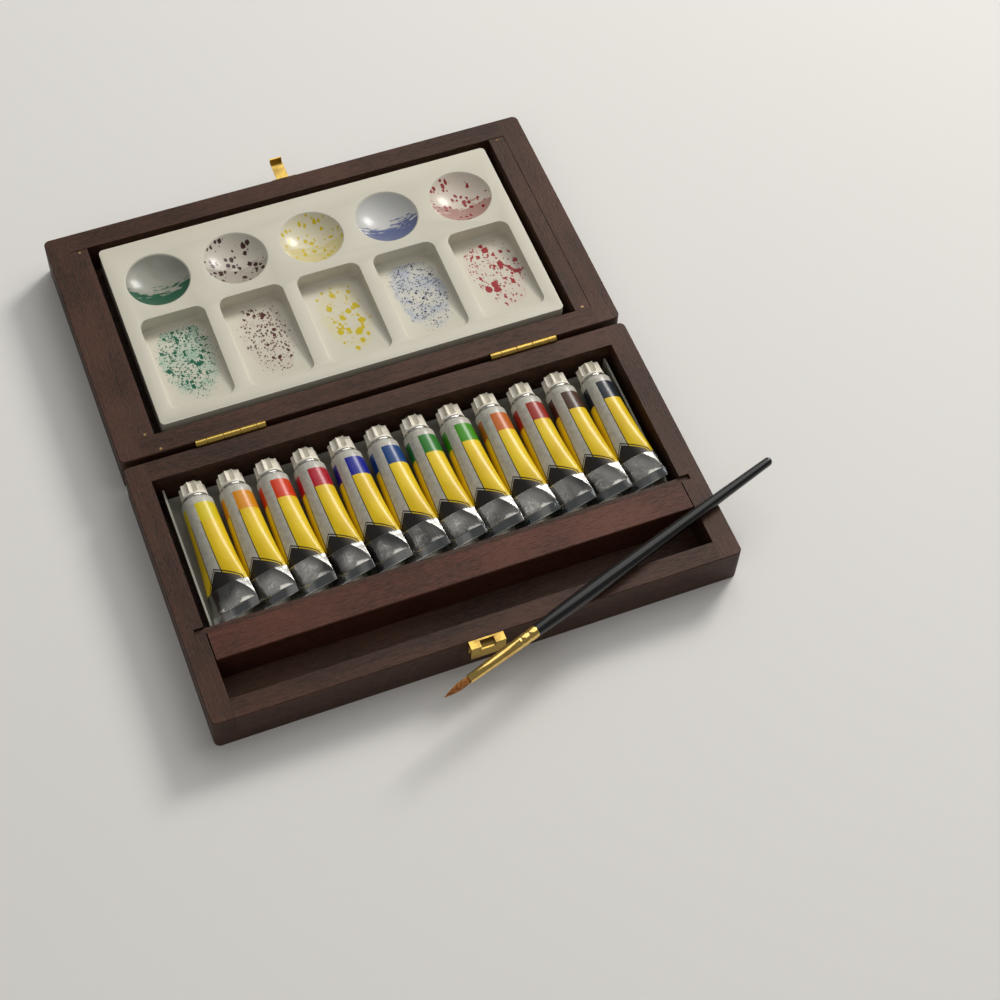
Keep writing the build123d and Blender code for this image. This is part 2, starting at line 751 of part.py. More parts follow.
# Hair: rings of three-sided strands that stand in a round root and draw together at the tip
def strand(angle, radius, size):
    places = ((ferrule_at + 0.1, hair_radius), (hair_belly_at, hair_belly_radius),
              (0.5 + 1.5 * radius / hair_radius, hair_tip_radius))
    rings = []
    for place, spread in places:
        scale = spread / hair_radius
        centre = (radius * scale * cos(angle), radius * scale * sin(angle))
        corners = []
        for turn in range(3):
            way = angle + turn * 2 * pi / 3
            corners.append((centre[0] + size * scale * cos(way), centre[1] + size * scale * sin(way)))
        rings.append([brush_tip + brush_way * place + brush_side * a + brush_up * b
                      for a, b in corners])
    faces = [Face(Wire.make_polygon(rings[0])), Face(Wire.make_polygon(rings[-1]))]
    for lower, upper in zip(rings, rings[1:]):
        for i in range(3):
            j = (i + 1) % 3
            faces.append(Face(Wire.make_polygon([lower[i], lower[j], upper[j]])))
            faces.append(Face(Wire.make_polygon([lower[i], upper[j], upper[i]])))
    return Solid(Shell(faces))


brush_up = brush_side.cross(brush_way)
strand_spacing = hair_radius / (strand_rings + 0.6)
strands = []
for ring_number in range(1, strand_rings + 1):
    ring_radius = ring_number * strand_spacing
    in_ring = 6 * ring_number
    for k in range(in_ring):
        strands.append(strand(2 * pi * k / in_ring, ring_radius, strand_spacing * strand_fill / 1.5))

with BuildPart() as hair:
    turned([(ferrule_at, 0), (ferrule_at, hair_radius), (ferrule_at + hair_root, hair_radius),
            (ferrule_at + hair_root, 0)], brush_plane)
    add(strands)
save(hair.part, "brush_hair")
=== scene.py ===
# %% [markdown]
# # A wooden watercolor paint box
# The box lies open on a table: the base with a tray of paint tubes in front, the lid with its
# mixing palette behind, and a brush across the front right corner. The wooden walls, the tray, the
# hinges and the latch come from the CAD model and only need finishes. The tubes, their caps, the
# palette and the brush have soft or drawn shapes, so they are modelled here and stand for their
# CAD nodes.

# %% Load the CAD frame
import math
import random
from collections import namedtuple
import bpy
from mathutils import Matrix, Vector


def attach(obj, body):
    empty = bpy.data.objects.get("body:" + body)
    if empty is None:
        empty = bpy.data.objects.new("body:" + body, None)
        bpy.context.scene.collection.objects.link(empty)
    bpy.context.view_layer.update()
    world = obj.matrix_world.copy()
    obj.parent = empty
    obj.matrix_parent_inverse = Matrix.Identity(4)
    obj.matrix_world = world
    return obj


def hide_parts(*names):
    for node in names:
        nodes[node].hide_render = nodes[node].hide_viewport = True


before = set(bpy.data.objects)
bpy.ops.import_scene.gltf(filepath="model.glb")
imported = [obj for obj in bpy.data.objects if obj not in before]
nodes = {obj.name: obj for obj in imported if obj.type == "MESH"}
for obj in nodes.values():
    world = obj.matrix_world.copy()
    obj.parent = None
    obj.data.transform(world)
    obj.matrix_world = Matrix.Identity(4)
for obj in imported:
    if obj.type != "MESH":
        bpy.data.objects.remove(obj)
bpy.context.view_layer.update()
MM = 0.001

# %% [markdown]
# Every finish below is a small set of shader nodes. Wiring them one by one hides the idea, so two
# helpers do it. `Signal` wraps one socket and lets us write sums such as `grain * 0.3 + 0.1`.
# `Finish` starts a material and adds any other node by its type, its settings and its inputs.

# %% Shader helpers
class Signal:
    """A socket that can be used in a sum, as a number can."""

    def __init__(self, finish, socket):
        self.finish = finish
        self.socket = socket

    def maths(self, operation, first, second):
        return self.finish.node("ShaderNodeMath", {"operation": operation}, {0: first, 1: second})

    def __add__(self, other):
        return self.maths("ADD", self, other)

    def __radd__(self, other):
        return self.maths("ADD", other, self)

    def __sub__(self, other):
        return self.maths("SUBTRACT", self, other)

    def __rsub__(self, other):
        return self.maths("SUBTRACT", other, self)

    def __mul__(self, other):
        return self.maths("MULTIPLY", self, other)

    def __rmul__(self, other):
        return self.maths("MULTIPLY", other, self)

    def __truediv__(self, other):
        return self.maths("DIVIDE", self, other)

    def __rtruediv__(self, other):
        return self.maths("DIVIDE", other, self)

    def __gt__(self, other):
        return self.maths("GREATER_THAN", self, other)

    def __lt__(self, other):
        return self.maths("LESS_THAN", self, other)

    def at_least(self, other):
        return self.maths("MAXIMUM", self, other)

    def at_most(self, other):
        return self.maths("MINIMUM", self, other)


class Finish:
    """A material with one Principled shader and the place of each point on the object."""

    def __init__(self, name, **fixed):
        self.material = bpy.data.materials.new(name)
        self.material.use_nodes = True
        self.tree = self.material.node_tree
        self.tree.nodes.clear()
        self.shader = self.tree.nodes.new("ShaderNodeBsdfPrincipled")
        output = self.tree.nodes.new("ShaderNodeOutputMaterial")
        self.tree.links.new(self.shader.outputs[0], output.inputs["Surface"])
        self.place = self.node("ShaderNodeTexCoord", output="Object")
        self.set(**fixed)

    def node(self, kind, settings=None, inputs=None, output=0):
        made = self.tree.nodes.new(kind)
        for key, value in (settings or {}).items():
            setattr(made, key, value)
        self.feed(made, inputs or {})
        return Signal(self, made.outputs[output])

    def feed(self, made, inputs):
        for key, value in inputs.items():
            if isinstance(value, Signal):
                self.tree.links.new(value.socket, made.inputs[key])
            elif isinstance(value, tuple) and len(value) == 3 and made.inputs[key].type == "RGBA":
                made.inputs[key].default_value = (*value, 1.0)
            else:
                made.inputs[key].default_value = value

    def set(self, **inputs):
        self.feed(self.shader, {key.replace("_", " "): value for key, value in inputs.items()})

    def noise(self, stretch, detail=3.0, roughness=0.5, offset=(0.0, 0.0, 0.0), where=None):
        spot = self.node("ShaderNodeMapping", inputs={
            "Vector": where or self.place, "Location": offset, "Scale": stretch})
        return self.node("ShaderNodeTexNoise", inputs={
            "Vector": spot, "Scale": 1.0, "Detail": detail, "Roughness": roughness})

    def mix(self, factor, first, second):
        settings = {"data_type": "RGBA", "clamp_factor": True}
        return self.node("ShaderNodeMix", settings, {0: factor, 6: first, 7: second}, output=2)

    def step(self, value, low, high):
        """0 below low, 1 above high, and smooth between them."""
        settings = {"interpolation_type": "SMOOTHSTEP"}
        return self.node("ShaderNodeMapRange", settings, {
            "Value": value, "From Min": low, "From Max": high, "To Min": 0.0, "To Max": 1.0})

    def parts(self, vector):
        split = self.node("ShaderNodeSeparateXYZ", inputs={0: vector}).socket.node
        return [Signal(self, out) for out in split.outputs]

    def bump(self, height, strength, depth):
        normal = self.node("ShaderNodeBump", inputs={
            "Height": height, "Strength": strength, "Distance": depth})
        self.set(Normal=normal)


print("helpers ready")

# %% [markdown]
# The camera comes first, because everything is judged through it. The photograph looks down on the
# box from the front left, quite steeply. The place, the lens and the slight tilt below were solved
# from the box's own corners, so a 1000 by 1000 render lines up with the photograph.

# %% Camera
camera_data = bpy.data.cameras.new("photo_camera")
camera = bpy.data.objects.new("photo_camera", camera_data)
bpy.context.scene.collection.objects.link(camera)
camera_data.sensor_width = 36.0
camera_data.lens = 74.1
target = Vector((32.94, -5.80, 22.0)) * MM
azimuth = math.radians(-24.685)
elevation = math.radians(57.847)
roll = math.radians(3.923)
distance = 978.71 * MM
away = Vector((math.sin(azimuth) * math.cos(elevation),
               -math.cos(azimuth) * math.cos(elevation), math.sin(elevation)))
right = Vector((math.cos(azimuth), math.sin(azimuth), 0.0))
up = away.cross(right)
tilted_right = right * math.cos(roll) + up * math.sin(roll)
tilted_up = up * math.cos(roll) - right * math.sin(roll)
camera.matrix_world = Matrix.Translation(target + away * distance) @ Matrix(
    (tilted_right, tilted_up, away)).transposed().to_4x4()
bpy.context.scene.camera = camera
print("camera at", [round(v, 4) for v in camera.matrix_world.translation])

# %% [markdown]
# The light comes from behind the box and from its right: the narrow bright line along each tube,
# the dark back and right walls of the wells and the brush's shadow all tell the same direction.
# One lamp stands for the window and a wider one above it for the sky it looks out on. A weak lamp
# on the viewer's side and an even surround fill the rest. The floor is a plain pale sheet.

# %% Floor and light
WINDOW_WHITE = (1.0, 0.97, 0.92)
SKY_WHITE = (1.0, 0.99, 0.97)
bpy.ops.object.select_all(action="DESELECT")
bpy.ops.mesh.primitive_plane_add(size=6.0, location=(0.0, 0.0, -0.0002))
floor = bpy.context.object
floor.name = "floor"
pale_floor = Finish("plain_floor", Roughness=0.9)
mottle = pale_floor.noise((3.0, 3.0, 3.0))
pale_floor.set(Base_Color=pale_floor.mix(mottle, (0.80, 0.79, 0.77), (0.83, 0.82, 0.80)))
floor.data.materials.append(pale_floor.material)

world = bpy.data.worlds.new("soft_room")
world.use_nodes = True
surround = world.node_tree.nodes["Background"].inputs
surround["Color"].default_value = (*SKY_WHITE, 1.0)
surround["Strength"].default_value = 0.20
bpy.context.scene.world = world


def window(name, place, aim, size, power, colour):
    """A rectangular lamp that faces the point it is aimed at."""
    lamp = bpy.data.lights.new(name, "AREA")
    lamp.shape = "RECTANGLE"
    lamp.size, lamp.size_y = size
    lamp.energy = power
    lamp.color = colour
    stand = bpy.data.objects.new(name, lamp)
    bpy.context.scene.collection.objects.link(stand)
    stand.location = place
    stand.rotation_euler = (Vector(aim) - Vector(place)).to_track_quat("-Z", "Y").to_euler()
    return stand


lamps = [
    window("window_light", place=(1.95, 1.38, 1.58), aim=(0.0, 0.05, 0.0), size=(0.75, 0.75),
           power=45.0, colour=WINDOW_WHITE),
    window("sky_light", place=(1.02, 0.82, 1.72), aim=(0.0, 0.05, 0.0), size=(2.55, 1.8),
           power=20.2, colour=SKY_WHITE),
    window("room_light", place=(-1.5, -1.65, 2.25), aim=(0.0, 0.0, 0.0), size=(2.25, 1.8),
           power=9.0, colour=WINDOW_WHITE)]
bpy.context.scene.view_settings.view_transform = "Standard"
print("lamps:", len(lamps))

# %% [markdown]
# The box is made of a fine straight-grained hardwood with a dark mahogany stain. Wood grain is a
# noise that is stretched hard along the plank: long streaks for the figure, finer ones for the
# fibres, short flecks where the stain soaked in unevenly, and short dark ticks for the pores.
# Faces that point up are painted paler in patches: a painted sheen, where they catch the light.
# The same recipe serves all planks, with the stretch laid along each one.

# %% Stained wood
ALONG_X = 0
ALONG_Y = 1


def stained_wood(name, along, deep, pale, seed):
    def stretch(across, lengthwise):
        scale = [across, across, across]
        scale[along] = lengthwise
        return tuple(scale)

    wood = Finish(name, Specular_IOR_Level=0.3)
    drift = (seed * 3.7, seed * 1.9, seed * 5.3)
    figure = wood.noise(stretch(110.0, 5.0), 4.0, 0.6, drift)
    fibre = wood.noise(stretch(900.0, 26.0), 3.0, 0.6, drift)
    pores = wood.step(wood.noise(stretch(1500.0, 170.0), 2.0, 0.5, drift), 0.56, 0.66)
    flecks = wood.noise(stretch(1200.0, 360.0), 2.0, 0.6, drift)
    cloud = wood.noise((22.0, 22.0, 22.0), 3.0, 0.5, drift)
    tone = figure * 0.55 + fibre * 0.4 + flecks * 0.7 + cloud * 0.25 - 0.5
    stained = wood.mix(wood.step(tone, 0.18, 0.72), deep, pale)
    dark = tuple(part * 0.45 for part in deep)
    stained = wood.mix(pores * 0.55, stained, dark)
    facing = wood.parts(wood.node("ShaderNodeTexCoord", output="Normal"))[2]
    # Painted sheen: faces that point up are painted paler in patches, where they catch the light.
    painted_top_sheen = wood.step(facing, 0.6, 0.95) * wood.step(cloud, 0.35, 0.75) * 0.35
    stained = wood.mix(painted_top_sheen, stained, tuple(part * 1.35 for part in pale))
    wood.set(Base_Color=stained, Roughness=0.46 + fibre * 0.2 - painted_top_sheen * 0.1)
    wood.bump(fibre * 0.5 - pores * 0.8, 0.35, 0.0003)
    return wood.material


DEEP_STAIN = (0.024, 0.0092, 0.0048)
PALE_STAIN = (0.078, 0.032, 0.0175)
wood_along_x = stained_wood("stained_wood_along_x", ALONG_X, DEEP_STAIN, PALE_STAIN, 1.0)
wood_along_y = stained_wood("stained_wood_along_y", ALONG_Y, DEEP_STAIN, PALE_STAIN, 2.0)
# The rail gets a lighter, redder copy of the stain: a painted lit tone for the light it catches.
lit_rail_wood = stained_wood("rail_wood_painted_lit", ALONG_X, (0.042, 0.0112, 0.0062),
                        (0.115, 0.038, 0.021), 3.0)
panel_wood = stained_wood("panel_wood", ALONG_X, (0.034, 0.0145, 0.0080),
                          (0.086, 0.041, 0.024), 4.0)


def dress(material, *names):
    """Gives CAD nodes a finish and tells how many there were."""
    for name in names:
        for place in nodes[name].material_slots:
            place.material = material
    return len(names)


planks = dress(wood_along_x, "base_front_wall", "base_back_wall", "lid_hinge_wall",
               "lid_far_wall", "partition_board")
planks += dress(wood_along_y, "base_left_wall", "base_right_wall", "lid_left_wall",
                "lid_right_wall", "lid_strip_left", "lid_strip_right")
planks += dress(lit_rail_wood, "divider_rail")
planks += dress(panel_wood, "base_floor_panel", "lid_top_panel")
print("wooden planks dressed:", planks)

# %% [markdown]
# Hinges, latch and pins are plain rolled brass. New brass would be an even mirror; these have a
# soft, slightly scratched shine and a browner tarnish in patches, which keeps the metal from
# looking like plastic. The bump is very shallow, because rolled sheet is nearly flat.

# %% Brass
def rolled_brass(name, bright, tarnished, rough, dullness):
    brass = Finish(name, Metallic=1.0)
    patches = brass.noise((160.0, 160.0, 160.0), 4.0, 0.6)
    scratches = brass.noise((300.0, 4200.0, 4200.0), 2.0, 0.5)
    brass.set(Base_Color=brass.mix(brass.step(patches, 0.45, 0.75), bright, tarnished),
              Roughness=rough + patches * dullness + scratches * dullness * 0.4)
    brass.bump(scratches, 0.15, 0.0001)
    return brass.material


hinge_brass = rolled_brass("hinge_brass", (0.74, 0.50, 0.12), (0.42, 0.26, 0.07), 0.10, 0.2)
brass_pieces = dress(hinge_brass, "latch_keeper", "keeper_pins", "hinge_left_base_leaf",
                     "hinge_right_base_leaf", "hinge_left_lid_leaf", "hinge_right_lid_leaf",
                     "hinge_pins", "hinge_base_screws", "hinge_lid_screws", "latch_plate",
                     "latch_plate_pins", "latch_pin", "latch_hasp")
aged_brass = rolled_brass("aged_brass", (0.34, 0.22, 0.10), (0.12, 0.07, 0.035), 0.42, 0.2)
brass_pieces += dress(aged_brass, "lid_brads")
print("brass pieces dressed:", brass_pieces)

# %% [markdown]
# The tray is a thin vacuum-formed sheet, greyish white and slightly dull, with faint scuffs.

# %% Tray sheet
tray_sheet = Finish("tray_sheet", Specular_IOR_Level=0.35)
scuffs = tray_sheet.noise((60.0, 400.0, 60.0), 4.0, 0.6)
dust = tray_sheet.noise((25.0, 25.0, 25.0), 3.0)
tray_sheet.set(Base_Color=tray_sheet.mix(dust, (0.285, 0.28, 0.235), (0.42, 0.41, 0.34)),
               Roughness=0.4 + scuffs * 0.25)
tray_sheet.bump(scuffs, 0.1, 0.0002)
tray_nodes = dress(tray_sheet.material, "tube_tray")
print("trays dressed:", tray_nodes)

# %% [markdown]
# The tubes, caps and brush are all drawn from round stock: a ring that is pulled out step by step
# and made wider, narrower or flatter at each step. `drawn_out` does that with the extrude and
# resize operators, along -Y, and keeps the last width and height to know the next change. A last
# ring of `CLOSED_END` shuts a piece almost to a point. The other helpers smooth a piece, copy it,
# coat it with its finish and put it in its place.

# %% Draw a round form out step by step
CLOSED_END = 0.05


def start_clean():
    if bpy.context.object and bpy.context.object.mode != "OBJECT":
        bpy.ops.object.mode_set(mode="OBJECT")
    bpy.ops.object.select_all(action="DESELECT")


def select_only(piece):
    start_clean()
    piece.select_set(True)
    bpy.context.view_layer.objects.active = piece


def drawn_out(name, outline, around):
    """outline: (place along the piece, half width, half height) in millimetres."""
    start_clean()
    place, wide, high = outline[0]
    bpy.ops.mesh.primitive_circle_add(vertices=around, radius=1.0, fill_type="NGON",
                                      location=(0, -place * MM, 0), rotation=(math.pi / 2, 0, 0))
    piece = bpy.context.object
    piece.name = name
    bpy.ops.object.transform_apply(location=True, rotation=True, scale=True)
    bpy.ops.object.mode_set(mode="EDIT")
    bpy.ops.mesh.select_mode(type="VERT")
    bpy.ops.mesh.select_all(action="SELECT")
    bpy.ops.transform.resize(value=(wide * MM, 1, high * MM), center_override=(0, -place * MM, 0))
    for next_place, next_wide, next_high in outline[1:]:
        bpy.ops.mesh.extrude_region_move(
            TRANSFORM_OT_translate={"value": (0, -(next_place - place) * MM, 0)})
        bpy.ops.transform.resize(value=(next_wide / wide, 1, next_high / high),
                                 center_override=(0, -next_place * MM, 0))
        place, wide, high = next_place, next_wide, next_high
    bpy.ops.mesh.select_all(action="SELECT")
    bpy.ops.mesh.normals_make_consistent(inside=False)
    bpy.ops.object.mode_set(mode="OBJECT")
    return piece


def round_steps(points):
    """An outline from (place, radius) pairs, for a piece that stays round."""
    return [(place, radius, radius) for place, radius in points]


def smooth(piece, degrees):
    """Shades a piece smoothly, except over edges that turn more than this."""
    select_only(piece)
    bpy.ops.object.shade_smooth_by_angle(angle=math.radians(degrees))
    return piece


def put(piece, matrix):
    """Bakes a place into the mesh, so the object itself stays at the origin."""
    select_only(piece)
    piece.matrix_world = matrix
    bpy.ops.object.transform_apply(location=True, rotation=True, scale=True)


def copied(piece):
    """A copy with a mesh of its own."""
    copy = piece.copy()
    copy.data = piece.data.copy()
    bpy.context.scene.collection.objects.link(copy)
    return copy


def coat(piece, material):
    piece.data.materials.clear()
    piece.data.materials.append(material)


def smooth_radius(knots, place):
    """A width that passes smoothly through the knots, as a turned handle does."""
    spots = [knots[0]] + list(knots) + [knots[-1]]
    for i in range(1, len(spots) - 2):
        (x0, r0), (x1, r1), (x2, r2), (x3, r3) = spots[i - 1:i + 3]
        if x1 <= place <= x2:
            t = (place - x1) / (x2 - x1)
            rise1 = (r2 - r0) / (x2 - x0) * (x2 - x1)
            rise2 = (r3 - r1) / (x3 - x1) * (x2 - x1)
            return (r1 * (2 * t ** 3 - 3 * t * t + 1) + rise1 * (t ** 3 - 2 * t * t + t)
                    + r2 * (3 * t * t - 2 * t ** 3) + rise2 * (t ** 3 - t * t))
    return knots[-1][1]


print("drawing helpers ready")

# %% [markdown]
# A paint tube is a round aluminium tube, closed by a shoulder and a nozzle at one end, pressed
# flat and folded over at the other. So the ring stays round along the barrel, then gets wider and
# thinner until both sides meet, and ends in a folded strip with a small step at the fold. The
# widths and heights are given at a few places only, and a smooth curve fills in the rings between.
# Places are counted in millimetres from the outer end of the cap.

# %% Tube shell
PITCH = 18.75
FIRST_X = -101.4
END_Y = 57.4
AXIS_Z = 12.6
ROLL = 25.0
BARREL = 8.0
LENGTH = 75.0
FLATTEN_FROM = 14.0
FLATTEN_TO = 70.0
RING_SPACING = 2.0
NOZZLE_AND_SHOULDER = ((2.2, 2.9), (8.15, 2.95), (8.2, 6.2), (8.4, 6.4), (9.0, 6.45), (9.15, 6.3),
                       (9.5, 6.9), (10.1, 7.5), (10.7, 7.82), (11.3, BARREL),
                       (FLATTEN_FROM, BARREL))
WIDTHS = ((FLATTEN_FROM, BARREL), (29.7, 8.6), (44.9, 9.6), (57.8, 10.9), (FLATTEN_TO, 12.1))
HEIGHTS = ((FLATTEN_FROM, BARREL), (29.7, 7.5), (44.9, 6.4), (57.8, 4.4), (FLATTEN_TO, 0.75))
FOLD = 70.2
FOLD_STEP = 0.25
FOLD_HALF_WIDTH = 12.2
FOLD_HALF_HEIGHT = 0.6
POINTS_AROUND = 64


def tube_outline():
    steps = round_steps(NOZZLE_AND_SHOULDER)
    for i in range(1, round((FLATTEN_TO - FLATTEN_FROM) / RING_SPACING) + 1):
        place = FLATTEN_FROM + i * RING_SPACING
        steps.append((place, smooth_radius(WIDTHS, place), smooth_radius(HEIGHTS, place)))
    return steps + [(FOLD, 12.16, 0.42), (FOLD + FOLD_STEP, FOLD_HALF_WIDTH, FOLD_HALF_HEIGHT),
                    (LENGTH - FOLD_STEP, FOLD_HALF_WIDTH, FOLD_HALF_HEIGHT), (LENGTH, 12.1, 0.45)]


RINGS = tube_outline()
tube = drawn_out("tube_01", RINGS, POINTS_AROUND)
print("one tube:", len(tube.data.polygons), "faces")

# %% [markdown]
# Pressing the end flat leaves a crease in the foil, from the right end of the label to the corner
# of the fold. Beyond it the side is no longer round but a flat facet. So one line of points is led
# along the crease, ring by ring, and the points from there to the side move onto the straight line
# between them. The points on its other side spread out evenly, so that no face is twisted, and the
# crease's edges are marked sharp. A turn is the share of the way around the ring, from the seam
# underneath.

# %% Facet beside the crease
TOP_TURN = 0.5
SIDE_TURN = 0.75
CREASE_FROM = 0.58
CREASE_RISE = 0.165 / 11.2
CREASE_START = 59.0
CREASE_END = FLATTEN_TO
TOP_POINT = round(TOP_TURN * POINTS_AROUND)
CREASE_POINT = 38
SIDE_POINT = round(SIDE_TURN * POINTS_AROUND)


def ring_near(place):
    return min(RINGS, key=lambda step: abs(step[0] - place))


def turn_of(point, ring):
    """0 to 1 around the ring: 0.5 is the top and 0.75 the side."""
    return math.atan2(point.x / ring[1], point.z / ring[2]) / (2 * math.pi) + TOP_TURN


def on_ring(turn, ring):
    angle = (turn - TOP_TURN) * 2 * math.pi
    return ring[1] * math.sin(angle), ring[2] * math.cos(angle)


on_crease = set()
for vertex in tube.data.vertices:
    place = -vertex.co.y / MM
    ring = ring_near(place)
    point = round(turn_of(vertex.co, ring) * POINTS_AROUND)
    if place < CREASE_START or not TOP_POINT < point < SIDE_POINT:
        continue
    crease = CREASE_FROM + (min(place, CREASE_END) - CREASE_START) * CREASE_RISE
    if point <= CREASE_POINT:
        share = (point - TOP_POINT) / (CREASE_POINT - TOP_POINT)
        x, z = on_ring(TOP_TURN + share * (crease - TOP_TURN), ring)
    else:
        share = (point - CREASE_POINT) / (SIDE_POINT - CREASE_POINT)
        (x0, z0), (x1, z1) = on_ring(crease, ring), on_ring(SIDE_TURN, ring)
        x, z = x0 + (x1 - x0) * share, z0 + (z1 - z0) * share
    vertex.co.x, vertex.co.z = x * MM, z * MM
    if point == CREASE_POINT and place < CREASE_END + 0.1:
        on_crease.add(vertex.index)
smooth(tube, 40)
for edge in tube.data.edges:
    if set(edge.vertices) <= on_crease:
        edge.use_edge_sharp = True
print("points on the crease:", len(on_crease))

# %% [markdown]
# The print on a tube follows its surface, also where the barrel is pressed flat. So the shell gets
# a UV map of its own: U runs once around, with the seam underneath, and V runs from the end of
# the cap to the fold.

# %% Unwrap the tube around and along
def unwrap(piece):
    layer = piece.data.uv_layers.new(name="print")
    for face in piece.data.polygons:
        spots = []
        for corner in face.loop_indices:
            point = piece.data.vertices[piece.data.loops[corner].vertex_index].co / MM
            spots.append((corner, turn_of(point, ring_near(-point.y)), -point.y / LENGTH))
        turns = [turn for _, turn, _ in spots]
        over_seam = max(turns) - min(turns) > 0.5
        for corner, turn, along in spots:
            if over_seam and turn < 0.5:
                turn += 1.0
            layer.data[corner].uv = (turn, along)


unwrap(tube)
print("tube unwrapped")

# %% [markdown]
# Each tube is printed alike, but for the band of its own colour: a pale strip with fine black
# edges runs lengthwise, a pale band sits at the shoulder, then the colour, then yellow. Black
# closes the label like a roof with its ridge in the strip, with a painted reflection that makes it
# lighter right of the ridge, and the bare foil follows. `U` runs around the tube, so every edge of
# the print is a simple comparison, and the roof is one slope to each side of the ridge.

# %% Printed label
STRIP_LEFT = 0.415
STRIP_RIGHT = 0.527
LINE = 0.0095
RIDGE = 0.478
LABEL_START = 10.4 / LENGTH
BAND_START = 14.4 / LENGTH
BAND_END = 24.9 / LENGTH
ROOF_TOP = 49.9 / LENGTH
ROOF_RIGHT = 42.0 / LENGTH
ROOF_LEFT = 80.0 / LENGTH
ROOF_LINE = 0.0115
ROOF_START = 0.0175
FOIL_START = 59.4 / LENGTH
SOFT = 0.002
SOFT_BAND = 0.003
GIRTH = 55.0
WearAndPaintedGleam = namedtuple("WearAndPaintedGleam", "creases streaks gleam fold_gleam dents grime")


def wear_and_painted_gleam_noises(foil, around, along, drift):
    """The wear and painted gleam noises of one tube, all taken from its own part of the pattern.
    """
    own_place = foil.node("ShaderNodeCombineXYZ", inputs={
        0: around * (GIRTH * MM), 1: along * (LENGTH * MM), 2: drift})
    return WearAndPaintedGleam(creases=foil.noise((150.0, 90.0, 1.0), 3.0, 0.6, where=own_place),
                streaks=foil.noise((700.0, 45.0, 1.0), 3.0, 0.6, where=own_place),
                gleam=foil.noise((75.0, 60.0, 1.0), 1.0, 0.4, (5.0, 2.0, 0.0), own_place),
                fold_gleam=foil.noise((110.0, 12.0, 1.0), 1.0, 0.4, (9.0, 4.0, 0.0), own_place),
                dents=foil.noise((90.0, 55.0, 1.0), 2.0, 0.5, where=own_place),
                grime=foil.noise((420.0, 420.0, 1.0), 4.0, 0.65, where=own_place))


def printed_label(foil, around, along, colour, surface_noise):
    """The colour of the print, from the shoulder to the end of the roof, with a painted reflection
    on the roof's right side.
    """
    def between(value, low, high):
        return foil.step(value, low, low + SOFT) * (1.0 - foil.step(value, high - SOFT, high))

    def line_at(edge):
        return between(around, edge - LINE * 0.5, edge + LINE * 0.5)

    lines = line_at(STRIP_LEFT) + line_at(STRIP_RIGHT)
    lines = lines * foil.step(along, BAND_END - 0.004, BAND_END)
    pale = foil.mix(foil.step(surface_noise.grime, 0.35, 0.7), (0.54, 0.52, 0.455), (0.42, 0.405, 0.355))
    yellow = foil.mix(foil.step(surface_noise.dents, 0.3, 0.7), (0.70, 0.47, 0.008), (0.80, 0.57, 0.016))
    yellow = foil.mix(foil.step(surface_noise.grime, 0.6, 0.8) * 0.25, yellow, (0.50, 0.33, 0.02))
    worn = foil.mix(foil.step(surface_noise.grime, 0.62, 0.8) * 0.2, colour, (0.6, 0.58, 0.5))
    shown = foil.mix(foil.step(along, BAND_START, BAND_START + SOFT_BAND), pale, worn)
    shown = foil.mix(foil.step(along, BAND_END, BAND_END + SOFT_BAND), shown, yellow)
    shown = foil.mix(between(around, STRIP_LEFT, STRIP_RIGHT), shown, pale)
    shown = foil.mix(lines, shown, (0.03, 0.028, 0.026))
    from_ridge = around - RIDGE
    below_roof = (along - ROOF_TOP - from_ridge.at_least(0.0) * ROOF_RIGHT
                  + from_ridge.at_most(0.0) * ROOF_LEFT)
    # Painted reflection: the roof's black is painted lighter to the right of the ridge.
    roof_ink_and_painted_reflection = foil.mix(foil.step(from_ridge, 0.05, 0.16), (0.022, 0.02, 0.019), (0.13, 0.115, 0.10))
    shown = foil.mix(between(below_roof, 0.0, ROOF_LINE), shown, (0.02, 0.018, 0.016))
    return foil.mix(foil.step(below_roof, ROOF_START, ROOF_START + SOFT), shown, roof_ink_and_painted_reflection)


print("label helpers ready")

# %% [markdown]
# Bare foil has its reflections painted into its colour: bright and dark patches stand for the
# room mirrored in it, with fewer bright ones near the crease, as painted shade. The facet gets a
# painted highlight, brightest beside the crease and less towards the side. The collar at the
# shoulder is painted bright all over, and the fold has painted patches of its own. Foil keeps
# every crease of handling, so its bump is stronger than the print's, and beyond the crease of the
# facet it slopes a little more.

# %% Bare foil
CREASE_FADE = 0.10
FACET_PAINTED_SHINE = 0.48
FACET_PAINTED_SHINE_LOSS = 0.4


def bare_foil(foil, around, along, surface_noise, bare_end, collar):
    """The colour of the metal with its painted reflection, where the facet is, and how far it
    slopes away.
    """
    on_fold = foil.step(along, FOLD / LENGTH, FOLD / LENGTH + SOFT)
    past_crease = around - (along * LENGTH - CREASE_START) * CREASE_RISE - CREASE_FROM
    # Painted reflection: the base colour runs between dark and bright silver in patches, with
    # painted shade near the crease, a painted highlight on the facet and the collar painted bright
    # all over.
    painted_shine = foil.step(surface_noise.gleam + (surface_noise.streaks - 0.5) * 0.12, 0.38, 0.66)
    painted_shine = painted_shine * (0.3 + foil.step(past_crease * -1.0, 0.0, CREASE_FADE) * 0.7)
    facet = foil.step(past_crease, 0.0, 0.004) * bare_end
    facet_painted_shine = FACET_PAINTED_SHINE - foil.step(past_crease, 0.0, CREASE_FADE) * FACET_PAINTED_SHINE_LOSS
    painted_shine = painted_shine + (facet_painted_shine - painted_shine) * facet
    painted_shine = painted_shine + (1.0 - painted_shine) * collar
    painted_shine = painted_shine + (foil.step(surface_noise.fold_gleam, 0.45, 0.62) - painted_shine) * on_fold
    silver_with_painted_reflection = foil.mix(painted_shine, (0.17, 0.17, 0.165), (0.74, 0.73, 0.69))
    silver_with_painted_reflection = foil.mix(on_fold * 0.35, silver_with_painted_reflection, (0.34, 0.37, 0.40))
    slope = past_crease.at_least(0.0) * bare_end * (1.0 - foil.step(around, 0.80, 0.85))
    return silver_with_painted_reflection, facet, slope


